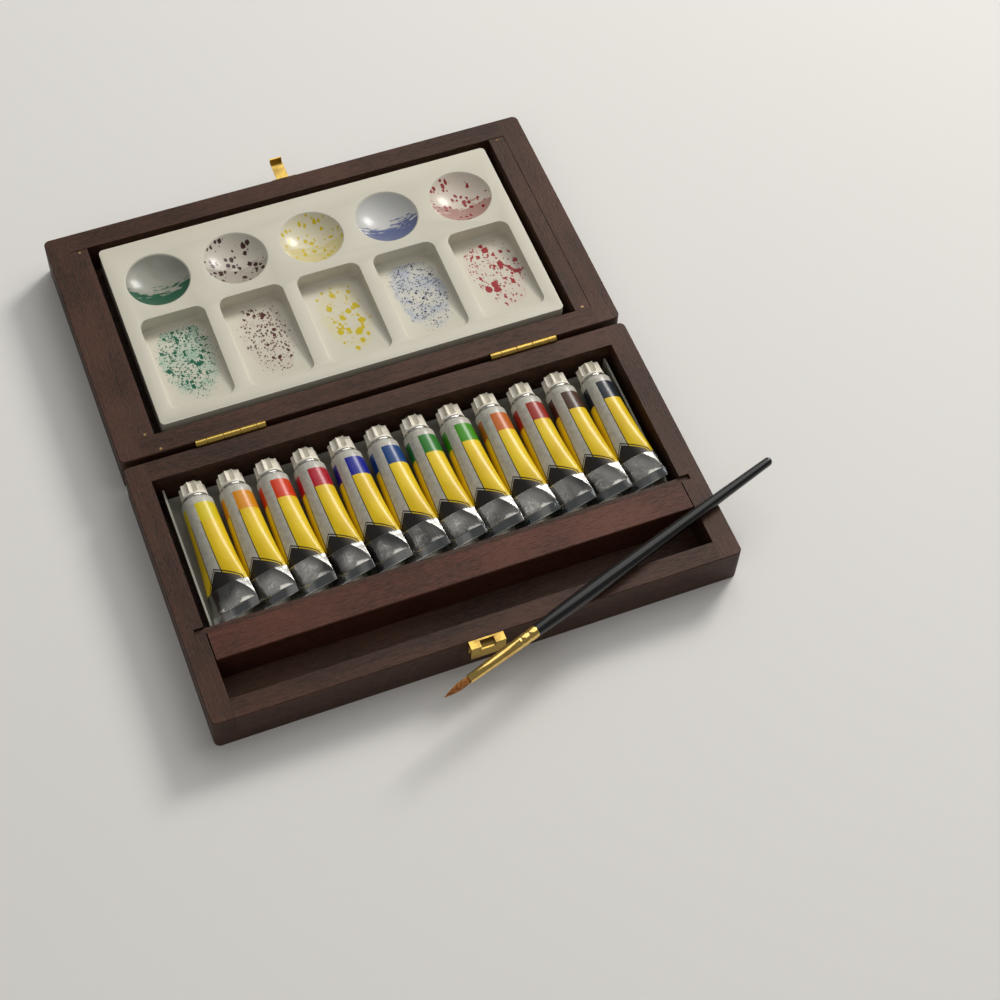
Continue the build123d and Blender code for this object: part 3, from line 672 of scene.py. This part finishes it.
def printed_foil(name, colour, drift):
    foil = Finish(name, Specular_IOR_Level=0.33)
    around, along, _ = foil.parts(foil.node("ShaderNodeUVMap", {"uv_map": "print"}))
    surface_noise = wear_and_painted_gleam_noises(foil, around, along, drift)
    label = printed_label(foil, around, along, colour, surface_noise)
    bare_end = foil.step(along, FOIL_START, FOIL_START + SOFT_BAND)
    collar = 1.0 - foil.step(along, LABEL_START, LABEL_START + SOFT)
    metal = bare_end.at_least(collar)
    silver_with_painted_reflection, facet, slope = bare_foil(foil, around, along, surface_noise, bare_end, collar)
    foil.set(Base_Color=foil.mix(metal, label, silver_with_painted_reflection), Metallic=metal,
             Roughness=0.24 - metal * 0.09 + facet * 0.14 + surface_noise.grime * 0.12)
    rough_foil = (surface_noise.creases * (0.10 + metal * 0.6) + surface_noise.dents * (0.2 + metal * 0.8)
                  + surface_noise.streaks * metal * 0.1)
    foil.bump(rough_foil - slope * 4.0, 0.6, 0.0009)
    return foil.material


print("foil helpers ready")

# %% [markdown]
# The twelve tubes are copies of the one shell, each with its own mesh and its own band of colour.
# They overlap like shingles, so every shell is rolled by the same angle before it goes to its
# place in the row.

# %% Row of tubes
BANDS = (("lemon_yellow", (0.66, 0.53, 0.010)), ("orange", (0.64, 0.24, 0.004)),
         ("scarlet", (0.60, 0.040, 0.006)), ("rose", (0.40, 0.008, 0.022)),
         ("ultramarine", (0.010, 0.014, 0.26)), ("cobalt", (0.005, 0.048, 0.19)),
         ("green", (0.018, 0.17, 0.016)), ("leaf_green", (0.046, 0.26, 0.005)),
         ("burnt_orange", (0.50, 0.12, 0.012)), ("red_earth", (0.30, 0.020, 0.010)),
         ("umber", (0.060, 0.024, 0.012)), ("slate", (0.014, 0.020, 0.030)))


def at_tube(number):
    """The way from the origin to a tube's place, for its shell and its cap."""
    return Matrix.Translation(Vector((FIRST_X + number * PITCH, END_Y, AXIS_Z)) * MM)


tilt = Matrix.Rotation(math.radians(-ROLL), 4, "Y")
for number, (band, colour) in enumerate(BANDS):
    shell = copied(tube)
    node = f"tube_{number + 1:02d}_body"
    shell.name = f"paint_{node}"
    put(shell, at_tube(number) @ tilt)
    coat(shell, printed_foil(f"tube_print_{band}", colour, number * 7.3))
    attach(shell, f"tube_{number + 1:02d}")
    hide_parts(node)
bpy.data.objects.remove(tube)
print("tubes:", len(BANDS))

# %% [markdown]
# The screw caps are white moulded plastic with broad scalloped flutes, so that wet fingers can
# grip them. A ring of 60 points is drawn out over the outside and then back inside, to leave the
# bore that takes the nozzle. At each flute the outer points are pulled towards the axis, most in
# the middle of the flute. The flutes fade out at the plain collar next to the tube.

# %% Screw cap
FLUTES = 10
PER_FLUTE = 6
FLUTE_PULLS = ((3, 1.0), (2, 0.72), (4, 0.72), (1, 0.2), (5, 0.2))
GRIP_RADIUS = 6.4
CAP_LENGTH = 8.0
BORE_RADIUS = 3.05
BORE_END = 1.5
CAP_POINTS = ((0.3, 4.4), (0.0, 4.8), (0.06, 5.6), (0.4, 6.15), (0.9, 6.32), (2.5, 6.38),
              (4.5, 6.45), (6.3, 6.52), (6.8, 6.54), (7.3, 6.58), (7.85, 6.6), (CAP_LENGTH, 6.5),
              (CAP_LENGTH, BORE_RADIUS), (BORE_END, BORE_RADIUS), (BORE_END, CLOSED_END))


def flute(piece, first, last, depth):
    """Pulls in the outer points between two places, once for each place in a flute."""
    for share, pull in FLUTE_PULLS:
        select_only(piece)
        for vertex in piece.data.vertices:
            turn = math.atan2(vertex.co.z, vertex.co.x) / (2 * math.pi) * FLUTES * PER_FLUTE
            in_reach = first <= -vertex.co.y / MM <= last
            outside = math.hypot(vertex.co.x, vertex.co.z) > (BORE_RADIUS + 0.5) * MM
            vertex.select = in_reach and outside and round(turn) % PER_FLUTE == share
        bpy.ops.object.mode_set(mode="EDIT")
        size = 1 - depth * pull / GRIP_RADIUS
        bpy.ops.transform.resize(value=(size, 1, size), center_override=(0, 0, 0))
        bpy.ops.object.mode_set(mode="OBJECT")


cap = drawn_out("cap_01", round_steps(CAP_POINTS), FLUTES * PER_FLUTE)
for item in (*cap.data.polygons, *cap.data.edges):
    item.select = False
flute(cap, 0.05, 6.4, 0.62)
flute(cap, 6.7, 6.9, 0.3)
smooth(cap, 35)
print("one cap:", len(cap.data.polygons), "faces")

# %% [markdown]
# The plastic of the caps has picked up smudges of handling, so one soft noise makes it browner and
# duller in patches. Every tube then gets a copy of the one cap, at the same place as its shell.

# %% Cap plastic
cap_white = Finish("cap_white", Specular_IOR_Level=0.5)
smudge = cap_white.noise((140.0, 140.0, 140.0), 4.0, 0.6)
cap_white.set(Base_Color=cap_white.mix(cap_white.step(smudge, 0.4, 0.8), (0.84, 0.80, 0.69),
                                       (0.66, 0.61, 0.49)), Roughness=0.32 + smudge * 0.2)
cap_white.bump(smudge, 0.08, 0.0003)
for number in range(len(BANDS)):
    copy = copied(cap)
    node = f"tube_{number + 1:02d}_cap"
    copy.name = f"screw_{node}"
    put(copy, at_tube(number))
    coat(copy, cap_white.material)
    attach(copy, node)
    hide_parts(node)
bpy.data.objects.remove(cap)
print("caps:", len(BANDS))

# %% [markdown]
# The palette is one glossy plastic moulding: a flat top with five sloping wells in front and five
# round bowls behind, and a skirt that stands on the lid's panel. Sculpting it would be slow and
# uneven. A maker would cut it, so the block is cut by wells and bowls with Boolean modifiers, its
# underside is opened, a bevel softens each rim as a mould does, and Solidify gives it its wall.

# %% Palette block and cutters
PALETTE_WIDTH = 210.7
PALETTE_FRONT = 90.0
PALETTE_BACK = 204.0
PALETTE_TOP = 21.8
PALETTE_FOOT = 3.3
PALETTE_CORNER = 2.4
PALETTE_WALL = 1.6
RIM_WIDTH = 0.7
WELL_PITCH = 40.9
WELL_XS = [(i - 2) * WELL_PITCH for i in range(5)]
WELL_FRONT = 96.5
WELL_BACK = 154.0
WELL_HALF = 16.8
WELL_SHALLOW = 1.2
WELL_DEEP = 9.5
WELL_CORNER = 5.0
WELL_FLOOR_EDGE = 1.8
CUT_ABOVE = 2.0
BOWL_Y = 176.5
BOWL_RADIUS = 16.7
BOWL_DEPTH = 6.0


def cuboid(name, low, high):
    start_clean()
    middle = [(a + b) / 2 * MM for a, b in zip(low, high)]
    bpy.ops.mesh.primitive_cube_add(size=1.0, location=middle)
    piece = bpy.context.object
    piece.name = name
    piece.scale = [(b - a) * MM for a, b in zip(low, high)]
    bpy.ops.object.transform_apply(location=True, rotation=True, scale=True)
    return piece


def pick(piece, kind, test):
    """Selects the vertices, edges or faces that pass a test, in edit mode."""
    bpy.ops.object.mode_set(mode="EDIT")
    bpy.ops.mesh.select_mode(type=kind)
    bpy.ops.mesh.select_all(action="DESELECT")
    bpy.ops.object.mode_set(mode="OBJECT")
    data = piece.data
    items = {"VERT": data.vertices, "EDGE": data.edges, "FACE": data.polygons}[kind]
    for item in items:
        points = [item] if kind == "VERT" else [data.vertices[i] for i in item.vertices]
        item.select = test([point.co / MM for point in points])
    bpy.ops.object.mode_set(mode="EDIT")


def upright(points):
    return abs(points[0].x - points[1].x) < 0.01 and abs(points[0].y - points[1].y) < 0.01


def soften(piece, kind, test, width, segments):
    """Bevels what the test picks."""
    pick(piece, kind, test)
    bpy.ops.mesh.bevel(offset=width * MM, segments=segments, affect="EDGES")
    bpy.ops.object.mode_set(mode="OBJECT")


def apply_modifier(piece, kind, **settings):
    select_only(piece)
    modifier = piece.modifiers.new(kind.lower(), kind)
    for key, value in settings.items():
        setattr(modifier, key, value)
    bpy.ops.object.modifier_apply(modifier=modifier.name)


palette = cuboid("mixing_palette", (-PALETTE_WIDTH / 2, PALETTE_FRONT, PALETTE_FOOT),
                 (PALETTE_WIDTH / 2, PALETTE_BACK, PALETTE_TOP))
soften(palette, "EDGE", upright, PALETTE_CORNER, 6)


def well_cutter(x):
    cutter = cuboid("well_cutter", (x - WELL_HALF, WELL_FRONT, PALETTE_TOP - WELL_SHALLOW),
                    (x + WELL_HALF, WELL_BACK, PALETTE_TOP + CUT_ABOVE))
    pick(cutter, "VERT", lambda points: points[0].y > WELL_BACK - 1 and points[0].z < PALETTE_TOP)
    bpy.ops.transform.translate(value=(0, 0, (WELL_SHALLOW - WELL_DEEP) * MM))
    bpy.ops.object.mode_set(mode="OBJECT")
    soften(cutter, "EDGE", upright, WELL_CORNER, 6)
    soften(cutter, "FACE",
           lambda points: len(points) > 4 and max(p.z for p in points) < PALETTE_TOP,
           WELL_FLOOR_EDGE, 4)
    return cutter


def bowl_cutter(x):
    ball = (BOWL_RADIUS ** 2 + BOWL_DEPTH ** 2) / (2 * BOWL_DEPTH)
    start_clean()
    bpy.ops.mesh.primitive_uv_sphere_add(
        segments=96, ring_count=64, radius=ball * MM,
        location=(x * MM, BOWL_Y * MM, (PALETTE_TOP - BOWL_DEPTH + ball) * MM))
    bpy.ops.object.transform_apply(location=True, rotation=True, scale=True)
    return bpy.context.object


for x in WELL_XS:
    for cutter in (well_cutter(x), bowl_cutter(x)):
        apply_modifier(palette, "BOOLEAN", object=cutter, operation="DIFFERENCE", solver="EXACT")
        bpy.data.objects.remove(cutter)
print("palette after cutting:", len(palette.data.polygons), "faces")

# %% Open the underside, soften the rims and give the moulding its wall
pick(palette, "FACE", lambda points: max(point.z for point in points) < PALETTE_FOOT + 0.01)
bpy.ops.mesh.delete(type="FACE")
bpy.ops.object.mode_set(mode="OBJECT")
apply_modifier(palette, "BEVEL", width=RIM_WIDTH * MM, segments=3, limit_method="ANGLE",
               angle_limit=math.radians(33), use_clamp_overlap=True)
apply_modifier(palette, "SOLIDIFY", thickness=PALETTE_WALL * MM, offset=-1.0,
               use_even_offset=True)
smooth(palette, 28)
print("palette with wall:", len(palette.data.polygons), "faces")

# %% [markdown]
# The palette has been used. Each well keeps the dry spatter of one colour inside a soft oval, and
# the bowls a thin wash with spatter in it. Spatter is drops of all sizes: a Voronoi pattern gives
# one point in each of its cells, and a drop is a disc around it. Each cell's own random value sets
# how large its disc is, or that there is none. A noise shifts the place a little first, so that
# the drops are not perfect circles.

# %% Palette plastic and spatter
NUDGE = 0.0016
moulding = Finish("palette_white", Specular_IOR_Level=0.4, Coat_Roughness=0.1)
px, py, _ = moulding.parts(moulding.place)
haze = moulding.noise((40.0, 40.0, 40.0), 4.0, 0.6)
wash = moulding.noise((90.0, 90.0, 90.0), 4.0, 0.6)
edge_noise = moulding.noise((230.0, 230.0, 230.0), 3.0, 0.6)
blots = moulding.noise((260.0, 150.0, 200.0), 3.0, 0.65)
strokes = moulding.noise((70.0, 420.0, 200.0), 3.0, 0.6)


def nudge(offset):
    return (moulding.noise((600.0, 600.0, 600.0), 2.0, 0.5, offset) - 0.5) * NUDGE


nudged = moulding.node("ShaderNodeCombineXYZ", inputs={
    0: px + nudge((0.0, 0.0, 0.0)), 1: (py + nudge((3.0, 5.0, 7.0))) * 0.75})


def spatter(cells_per_metre, threshold, growth, crowd):
    """Discs around the points of a Voronoi pattern; crowd, 0 to 1, says where they may be."""
    settings = {"voronoi_dimensions": "2D", "feature": "F1"}
    feed = {"Vector": nudged, "Scale": cells_per_metre}
    reach = moulding.node("ShaderNodeTexVoronoi", settings, feed, output="Distance")
    cell_colour = moulding.node("ShaderNodeTexVoronoi", settings, feed, output="Color")
    chance = moulding.parts(cell_colour)[0]
    disc = (chance + crowd * 0.5 - 0.5 - threshold) * growth
    return moulding.step(disc - reach, 0.0, 0.03) * (crowd > 0.02)


print("spatter ready")

# %% [markdown]
# Wells differ in how coarse the spatter is and how much of it is left, so each gets its paint, the
# thin film around it, how wide its oval is, how its drops are sized, how much the film covers, and
# how far blots of solid paint reach. A bowl gets its paint, a colour laid over all its inside, and
# how strongly both show.

# %% What is left in each well and bowl
Well = namedtuple("Well", "paint film half coarse coarse_from coarse_growth fine_from fine_growth "
                  "cover blots")
Bowl = namedtuple("Bowl", "paint film cover tint spots")
WELLS = (Well((0.001, 0.110, 0.055), (0.26, 0.46, 0.36), 15.0,
              430.0, 0.50, 0.9, 0.22, 0.8, 0.75, 0.24),
         Well((0.080, 0.010, 0.004), (0.50, 0.36, 0.30), 13.5,
              340.0, 0.52, 0.8, 0.30, 0.8, 0.30, 0.22),
         Well((0.560, 0.430, 0.001), (0.66, 0.58, 0.22), 13.0,
              230.0, 0.44, 0.9, 0.62, 0.6, 0.40, 0.27),
         Well((0.018, 0.030, 0.090), (0.33, 0.39, 0.50), 14.0,
              430.0, 0.56, 0.7, 0.24, 0.7, 0.75, 0.00),
         Well((0.300, 0.002, 0.006), (0.58, 0.40, 0.37), 15.5,
              240.0, 0.46, 0.9, 0.48, 0.8, 0.30, 0.34))
# The first bowl's overlay colour is dark grey, so that bowl is darkened all over.
BOWLS = (Bowl((0.001, 0.080, 0.036), (0.10, 0.115, 0.105), 0.95, 0.70, 0.00),
         Bowl((0.045, 0.014, 0.012), (0.30, 0.26, 0.23), 0.30, 0.35, 0.58),
         Bowl((0.540, 0.420, 0.010), (0.62, 0.55, 0.28), 0.35, 0.40, 0.45),
         Bowl((0.012, 0.040, 0.190), (0.26, 0.32, 0.44), 0.80, 0.40, 0.00),
         Bowl((0.240, 0.006, 0.008), (0.50, 0.34, 0.31), 0.55, 0.30, 0.50))
print("wells:", len(WELLS), "bowls:", len(BOWLS))

# %% Paint the wells and bowls
OVAL_MIDDLE = 129.0
OVAL_HALF = 29.0
FLOOR_END = 148.5
WALL_START = 151.0
on_floor = 1.0 - moulding.step(py, FLOOR_END * MM, WALL_START * MM)


def painted_well(shade, x, well):
    across = (px - (x + 1.0) * MM) / (well.half * MM)
    lengthwise = (py - OVAL_MIDDLE * MM) / (OVAL_HALF * MM)
    oval = across * across + lengthwise * lengthwise + (edge_noise - 0.5) * 0.8
    crowd = (1.0 - moulding.step(oval, 0.45, 1.15)) * on_floor
    drops = spatter(well.coarse, well.coarse_from, well.coarse_growth, crowd)
    mist = spatter(well.coarse * 2.3, well.fine_from, well.fine_growth, crowd)
    thin = moulding.step(wash, 0.30, 0.72) * moulding.step(crowd, 0.1, 0.6) * well.cover
    shade = moulding.mix(thin, shade, well.film)
    shade = moulding.mix(mist * 0.85, shade, well.paint)
    shade = moulding.mix(drops, shade, well.paint)
    if well.blots:
        edge = 0.80 - well.blots * 0.32
        blot = moulding.step(blots + crowd * 0.12, edge, edge + 0.03)
        shade = moulding.mix(blot * (crowd > 0.3), shade, well.paint)
    return shade


def painted_bowl(shade, x, bowl):
    """The colour with this bowl's paint, and where the paint lies."""
    out_x = (px - x * MM) / (BOWL_RADIUS * MM)
    out_y = (py - BOWL_Y * MM) / (BOWL_RADIUS * MM)
    inside = 1.0 - moulding.step(out_x * out_x + out_y * out_y, 0.90, 0.96)
    low_side = (wash - 0.5) * 1.6 + (strokes - 0.5) * 1.8 - out_y * 1.1
    pool = moulding.step(low_side, 0.10, 0.30) * inside
    shade = moulding.mix(inside * bowl.tint * (0.7 + wash * 0.5), shade, bowl.film)
    shade = moulding.mix(pool * bowl.cover, shade, bowl.paint)
    if bowl.spots:
        drops = spatter(380.0, 0.62 - bowl.spots * 0.4, 0.8, inside)
        shade = moulding.mix(drops, shade, bowl.paint)
    return shade, pool


shade = moulding.mix(haze, (0.66, 0.63, 0.53), (0.60, 0.565, 0.465))
wet = 0.0
for x, well, bowl in zip(WELL_XS, WELLS, BOWLS):
    shade = painted_well(shade, x, well)
    shade, pool = painted_bowl(shade, x, bowl)
    wet = wet + pool
moulding.set(Base_Color=shade, Roughness=0.26 + haze * 0.12 - wet * 0.06, Coat_Weight=0.1)
moulding.bump(wash * 0.3 + haze * 0.4, 0.06, 0.0006)
coat(palette, moulding.material)
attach(palette, "palette")
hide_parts("palette")
print("palette dressed")

# %% [markdown]
# The brush has a black lacquered handle with a slight belly, a gold coloured ferrule that is
# crimped in two rings at the handle, and a short pointed tuft. It rests on the front rim with its
# belly and on the right rim with its tail, so it leans a little. Its pieces are drawn out along -Y
# and then turned into that line with one matrix.

# %% Brush line
BRUSH_LENGTH = 204.4
HEADING = math.radians(18.96)
TIP_X = -29.7
TIP_Y = -97.0
BELLY = 3.7
BELLY_AT = 92.0
TAIL = 2.2
TAIL_AT = 202.2
HALF_BOX_WIDTH = 130.0
SIDE_WALL = 11.2
RIM = 22.0
REST = 0.3
right_rim_at = (HALF_BOX_WIDTH - SIDE_WALL - TIP_X) / math.cos(HEADING)
tail_reach = BELLY + (TAIL - BELLY) * (right_rim_at - BELLY_AT) / (BRUSH_LENGTH - BELLY_AT)
fall = (BELLY - tail_reach) / (right_rim_at - BELLY_AT)
tip = Vector((TIP_X, TIP_Y, RIM + REST + BELLY + fall * BELLY_AT)) * MM
way = Vector((math.cos(HEADING), math.sin(HEADING), -fall)).normalized()
side = way.cross(Vector((0, 0, 1))).normalized()
brush_up = side.cross(way)
brush_line = Matrix.Translation(tip) @ Matrix((-side, -way, brush_up)).transposed().to_4x4()
print("brush leans by", round(math.degrees(math.atan(fall)), 2), "degrees")

# %% Handle and ferrule
HANDLE_START = 54.0
HANDLE_STEPS = 20
HANDLE_STEP = 7.41
HANDLE_KNOTS = ((HANDLE_START, 2.9), (69.0, 3.4), (BELLY_AT, BELLY), (130.0, 3.25),
                (TAIL_AT, TAIL))
TENON = 2.35
handle_points = [(34.0, TENON), (53.9, TENON), (53.95, 2.9)]
for i in range(HANDLE_STEPS + 1):
    place = HANDLE_START + i * HANDLE_STEP
    handle_points.append((place, smooth_radius(HANDLE_KNOTS, place)))
handle_points += [(TAIL_AT + TAIL * math.sin(a), max(TAIL * math.cos(a), CLOSED_END))
                  for a in (0.25, 0.5, 0.75, 1.0, 1.25, 1.5)]
handle = smooth(drawn_out("lacquered_handle", round_steps(handle_points), 40), 50)

ferrule_points = [(14.4, 1.8), (14.4, 2.02), (14.55, 2.1), (25.0, 2.42), (37.0, 2.78), (43.9, 3.0)]
for ring in (45.0, 49.5):
    ferrule_points += [(ring - 0.9, 3.04), (ring - 0.45, 2.93), (ring, 2.82), (ring + 0.45, 2.93),
                       (ring + 0.9, 3.04)]
ferrule_points += [(53.7, 3.05), (53.98, 2.98), (54.0, 2.45)]
ferrule = smooth(drawn_out("gilt_ferrule", round_steps(ferrule_points), 40), 50)

lacquer = Finish("black_lacquer", Specular_IOR_Level=0.35, Coat_Roughness=0.06)
surface_noise = lacquer.noise((260.0, 260.0, 260.0), 4.0, 0.6)
scuffed = lacquer.step(surface_noise, 0.62, 0.72) * 0.5
lacquer.set(Base_Color=lacquer.mix(scuffed, (0.006, 0.006, 0.0062), (0.03, 0.026, 0.022)),
            Roughness=0.16 + surface_noise * 0.16, Coat_Weight=0.3)
lacquer.bump(surface_noise, 0.05, 0.0003)
gilt = rolled_brass("gilt_ferrule", (0.84, 0.58, 0.18), (0.62, 0.40, 0.11), 0.05, 0.08)
for piece, material, node, slot in ((handle, lacquer.material, "brush_handle", "black_lacquer"),
                                    (ferrule, gilt, "brush_ferrule", "ferrule_gold")):
    put(piece, brush_line)
    coat(piece, material)
    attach(piece, "brush")
    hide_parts(node)
print("handle and ferrule ready")

# %% [markdown]
# The tuft is made of single hairs. One hair is drawn out as a thin tapered rod and copied; each
# copy stands in its own place in the ferrule, swells out a little with the tuft and runs in
# towards the point. Because all hairs shrink towards the same line, none crosses another.

# %% Tuft
TUFT_ROOT = 16.4
ROOT_RADIUS = 1.7
TUFT_KNOTS = ((0.0, 0.16), (2.0, 0.62), (5.0, 1.45), (9.0, 1.95), (12.5, 1.86),
              (14.4, ROOT_RADIUS), (TUFT_ROOT, ROOT_RADIUS))
HAIR_RINGS = 13
RING_FILL = 0.97
HAIR_POINTS = ((16.2, 0.05), (14.4, 0.05), (11.5, 0.05), (8.5, 0.048), (5.5, 0.045), (3.0, 0.04),
               (1.2, 0.03), (0.0, 0.014))
from_root = [(TUFT_ROOT - place, radius) for place, radius in HAIR_POINTS]
one_hair = drawn_out("one_hair", round_steps(from_root), 5)
random.seed(7)
hairs = []
for ring in range(HAIR_RINGS):
    count = max(1, 6 * ring)
    for k in range(count):
        turn = 2 * math.pi * (k + 0.37 * ring) / count
        reach = ring / HAIR_RINGS * RING_FILL
        out_x, out_z = math.cos(turn) * reach, math.sin(turn) * reach
        short = random.uniform(0.0, 1.0) * (0.2 + 1.5 * reach)
        hair = copied(one_hair)
        for vertex in hair.data.vertices:
            place = TUFT_ROOT + vertex.co.y / MM
            place = place + short * max(0.0, 1 - place / 10.0)
            spread = smooth_radius(TUFT_KNOTS, place)
            shrink = min(1.0, spread / ROOT_RADIUS + 0.12)
            vertex.co = Vector((vertex.co.x * shrink + out_x * spread * MM, -place * MM,
                                vertex.co.z * shrink + out_z * spread * MM))
        hairs.append(hair)
bpy.data.objects.remove(one_hair)
start_clean()
for hair in hairs:
    hair.select_set(True)
bpy.context.view_layer.objects.active = hairs[0]
bpy.ops.object.join()
tuft = bpy.context.object
tuft.name = "hair_tuft"
bpy.ops.object.mode_set(mode="EDIT")
bpy.ops.mesh.select_all(action="SELECT")
bpy.ops.mesh.normals_make_consistent(inside=False)
bpy.ops.object.mode_set(mode="OBJECT")
put(smooth(tuft, 60), brush_line)
sable = Finish("sable_hair", Roughness=0.5, Specular_IOR_Level=0.4)
strand_tone = sable.noise((900.0, 900.0, 900.0), 2.0, 0.5)
sable.set(Base_Color=sable.mix(sable.step(strand_tone, 0.35, 0.7), (0.30, 0.10, 0.025),
                               (0.62, 0.27, 0.07)))
sable.bump(strand_tone, 0.1, 0.0002)
coat(tuft, sable.material)
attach(tuft, "brush")
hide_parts("brush_hair")
print("hairs:", len(hairs), "faces:", len(tuft.data.polygons))
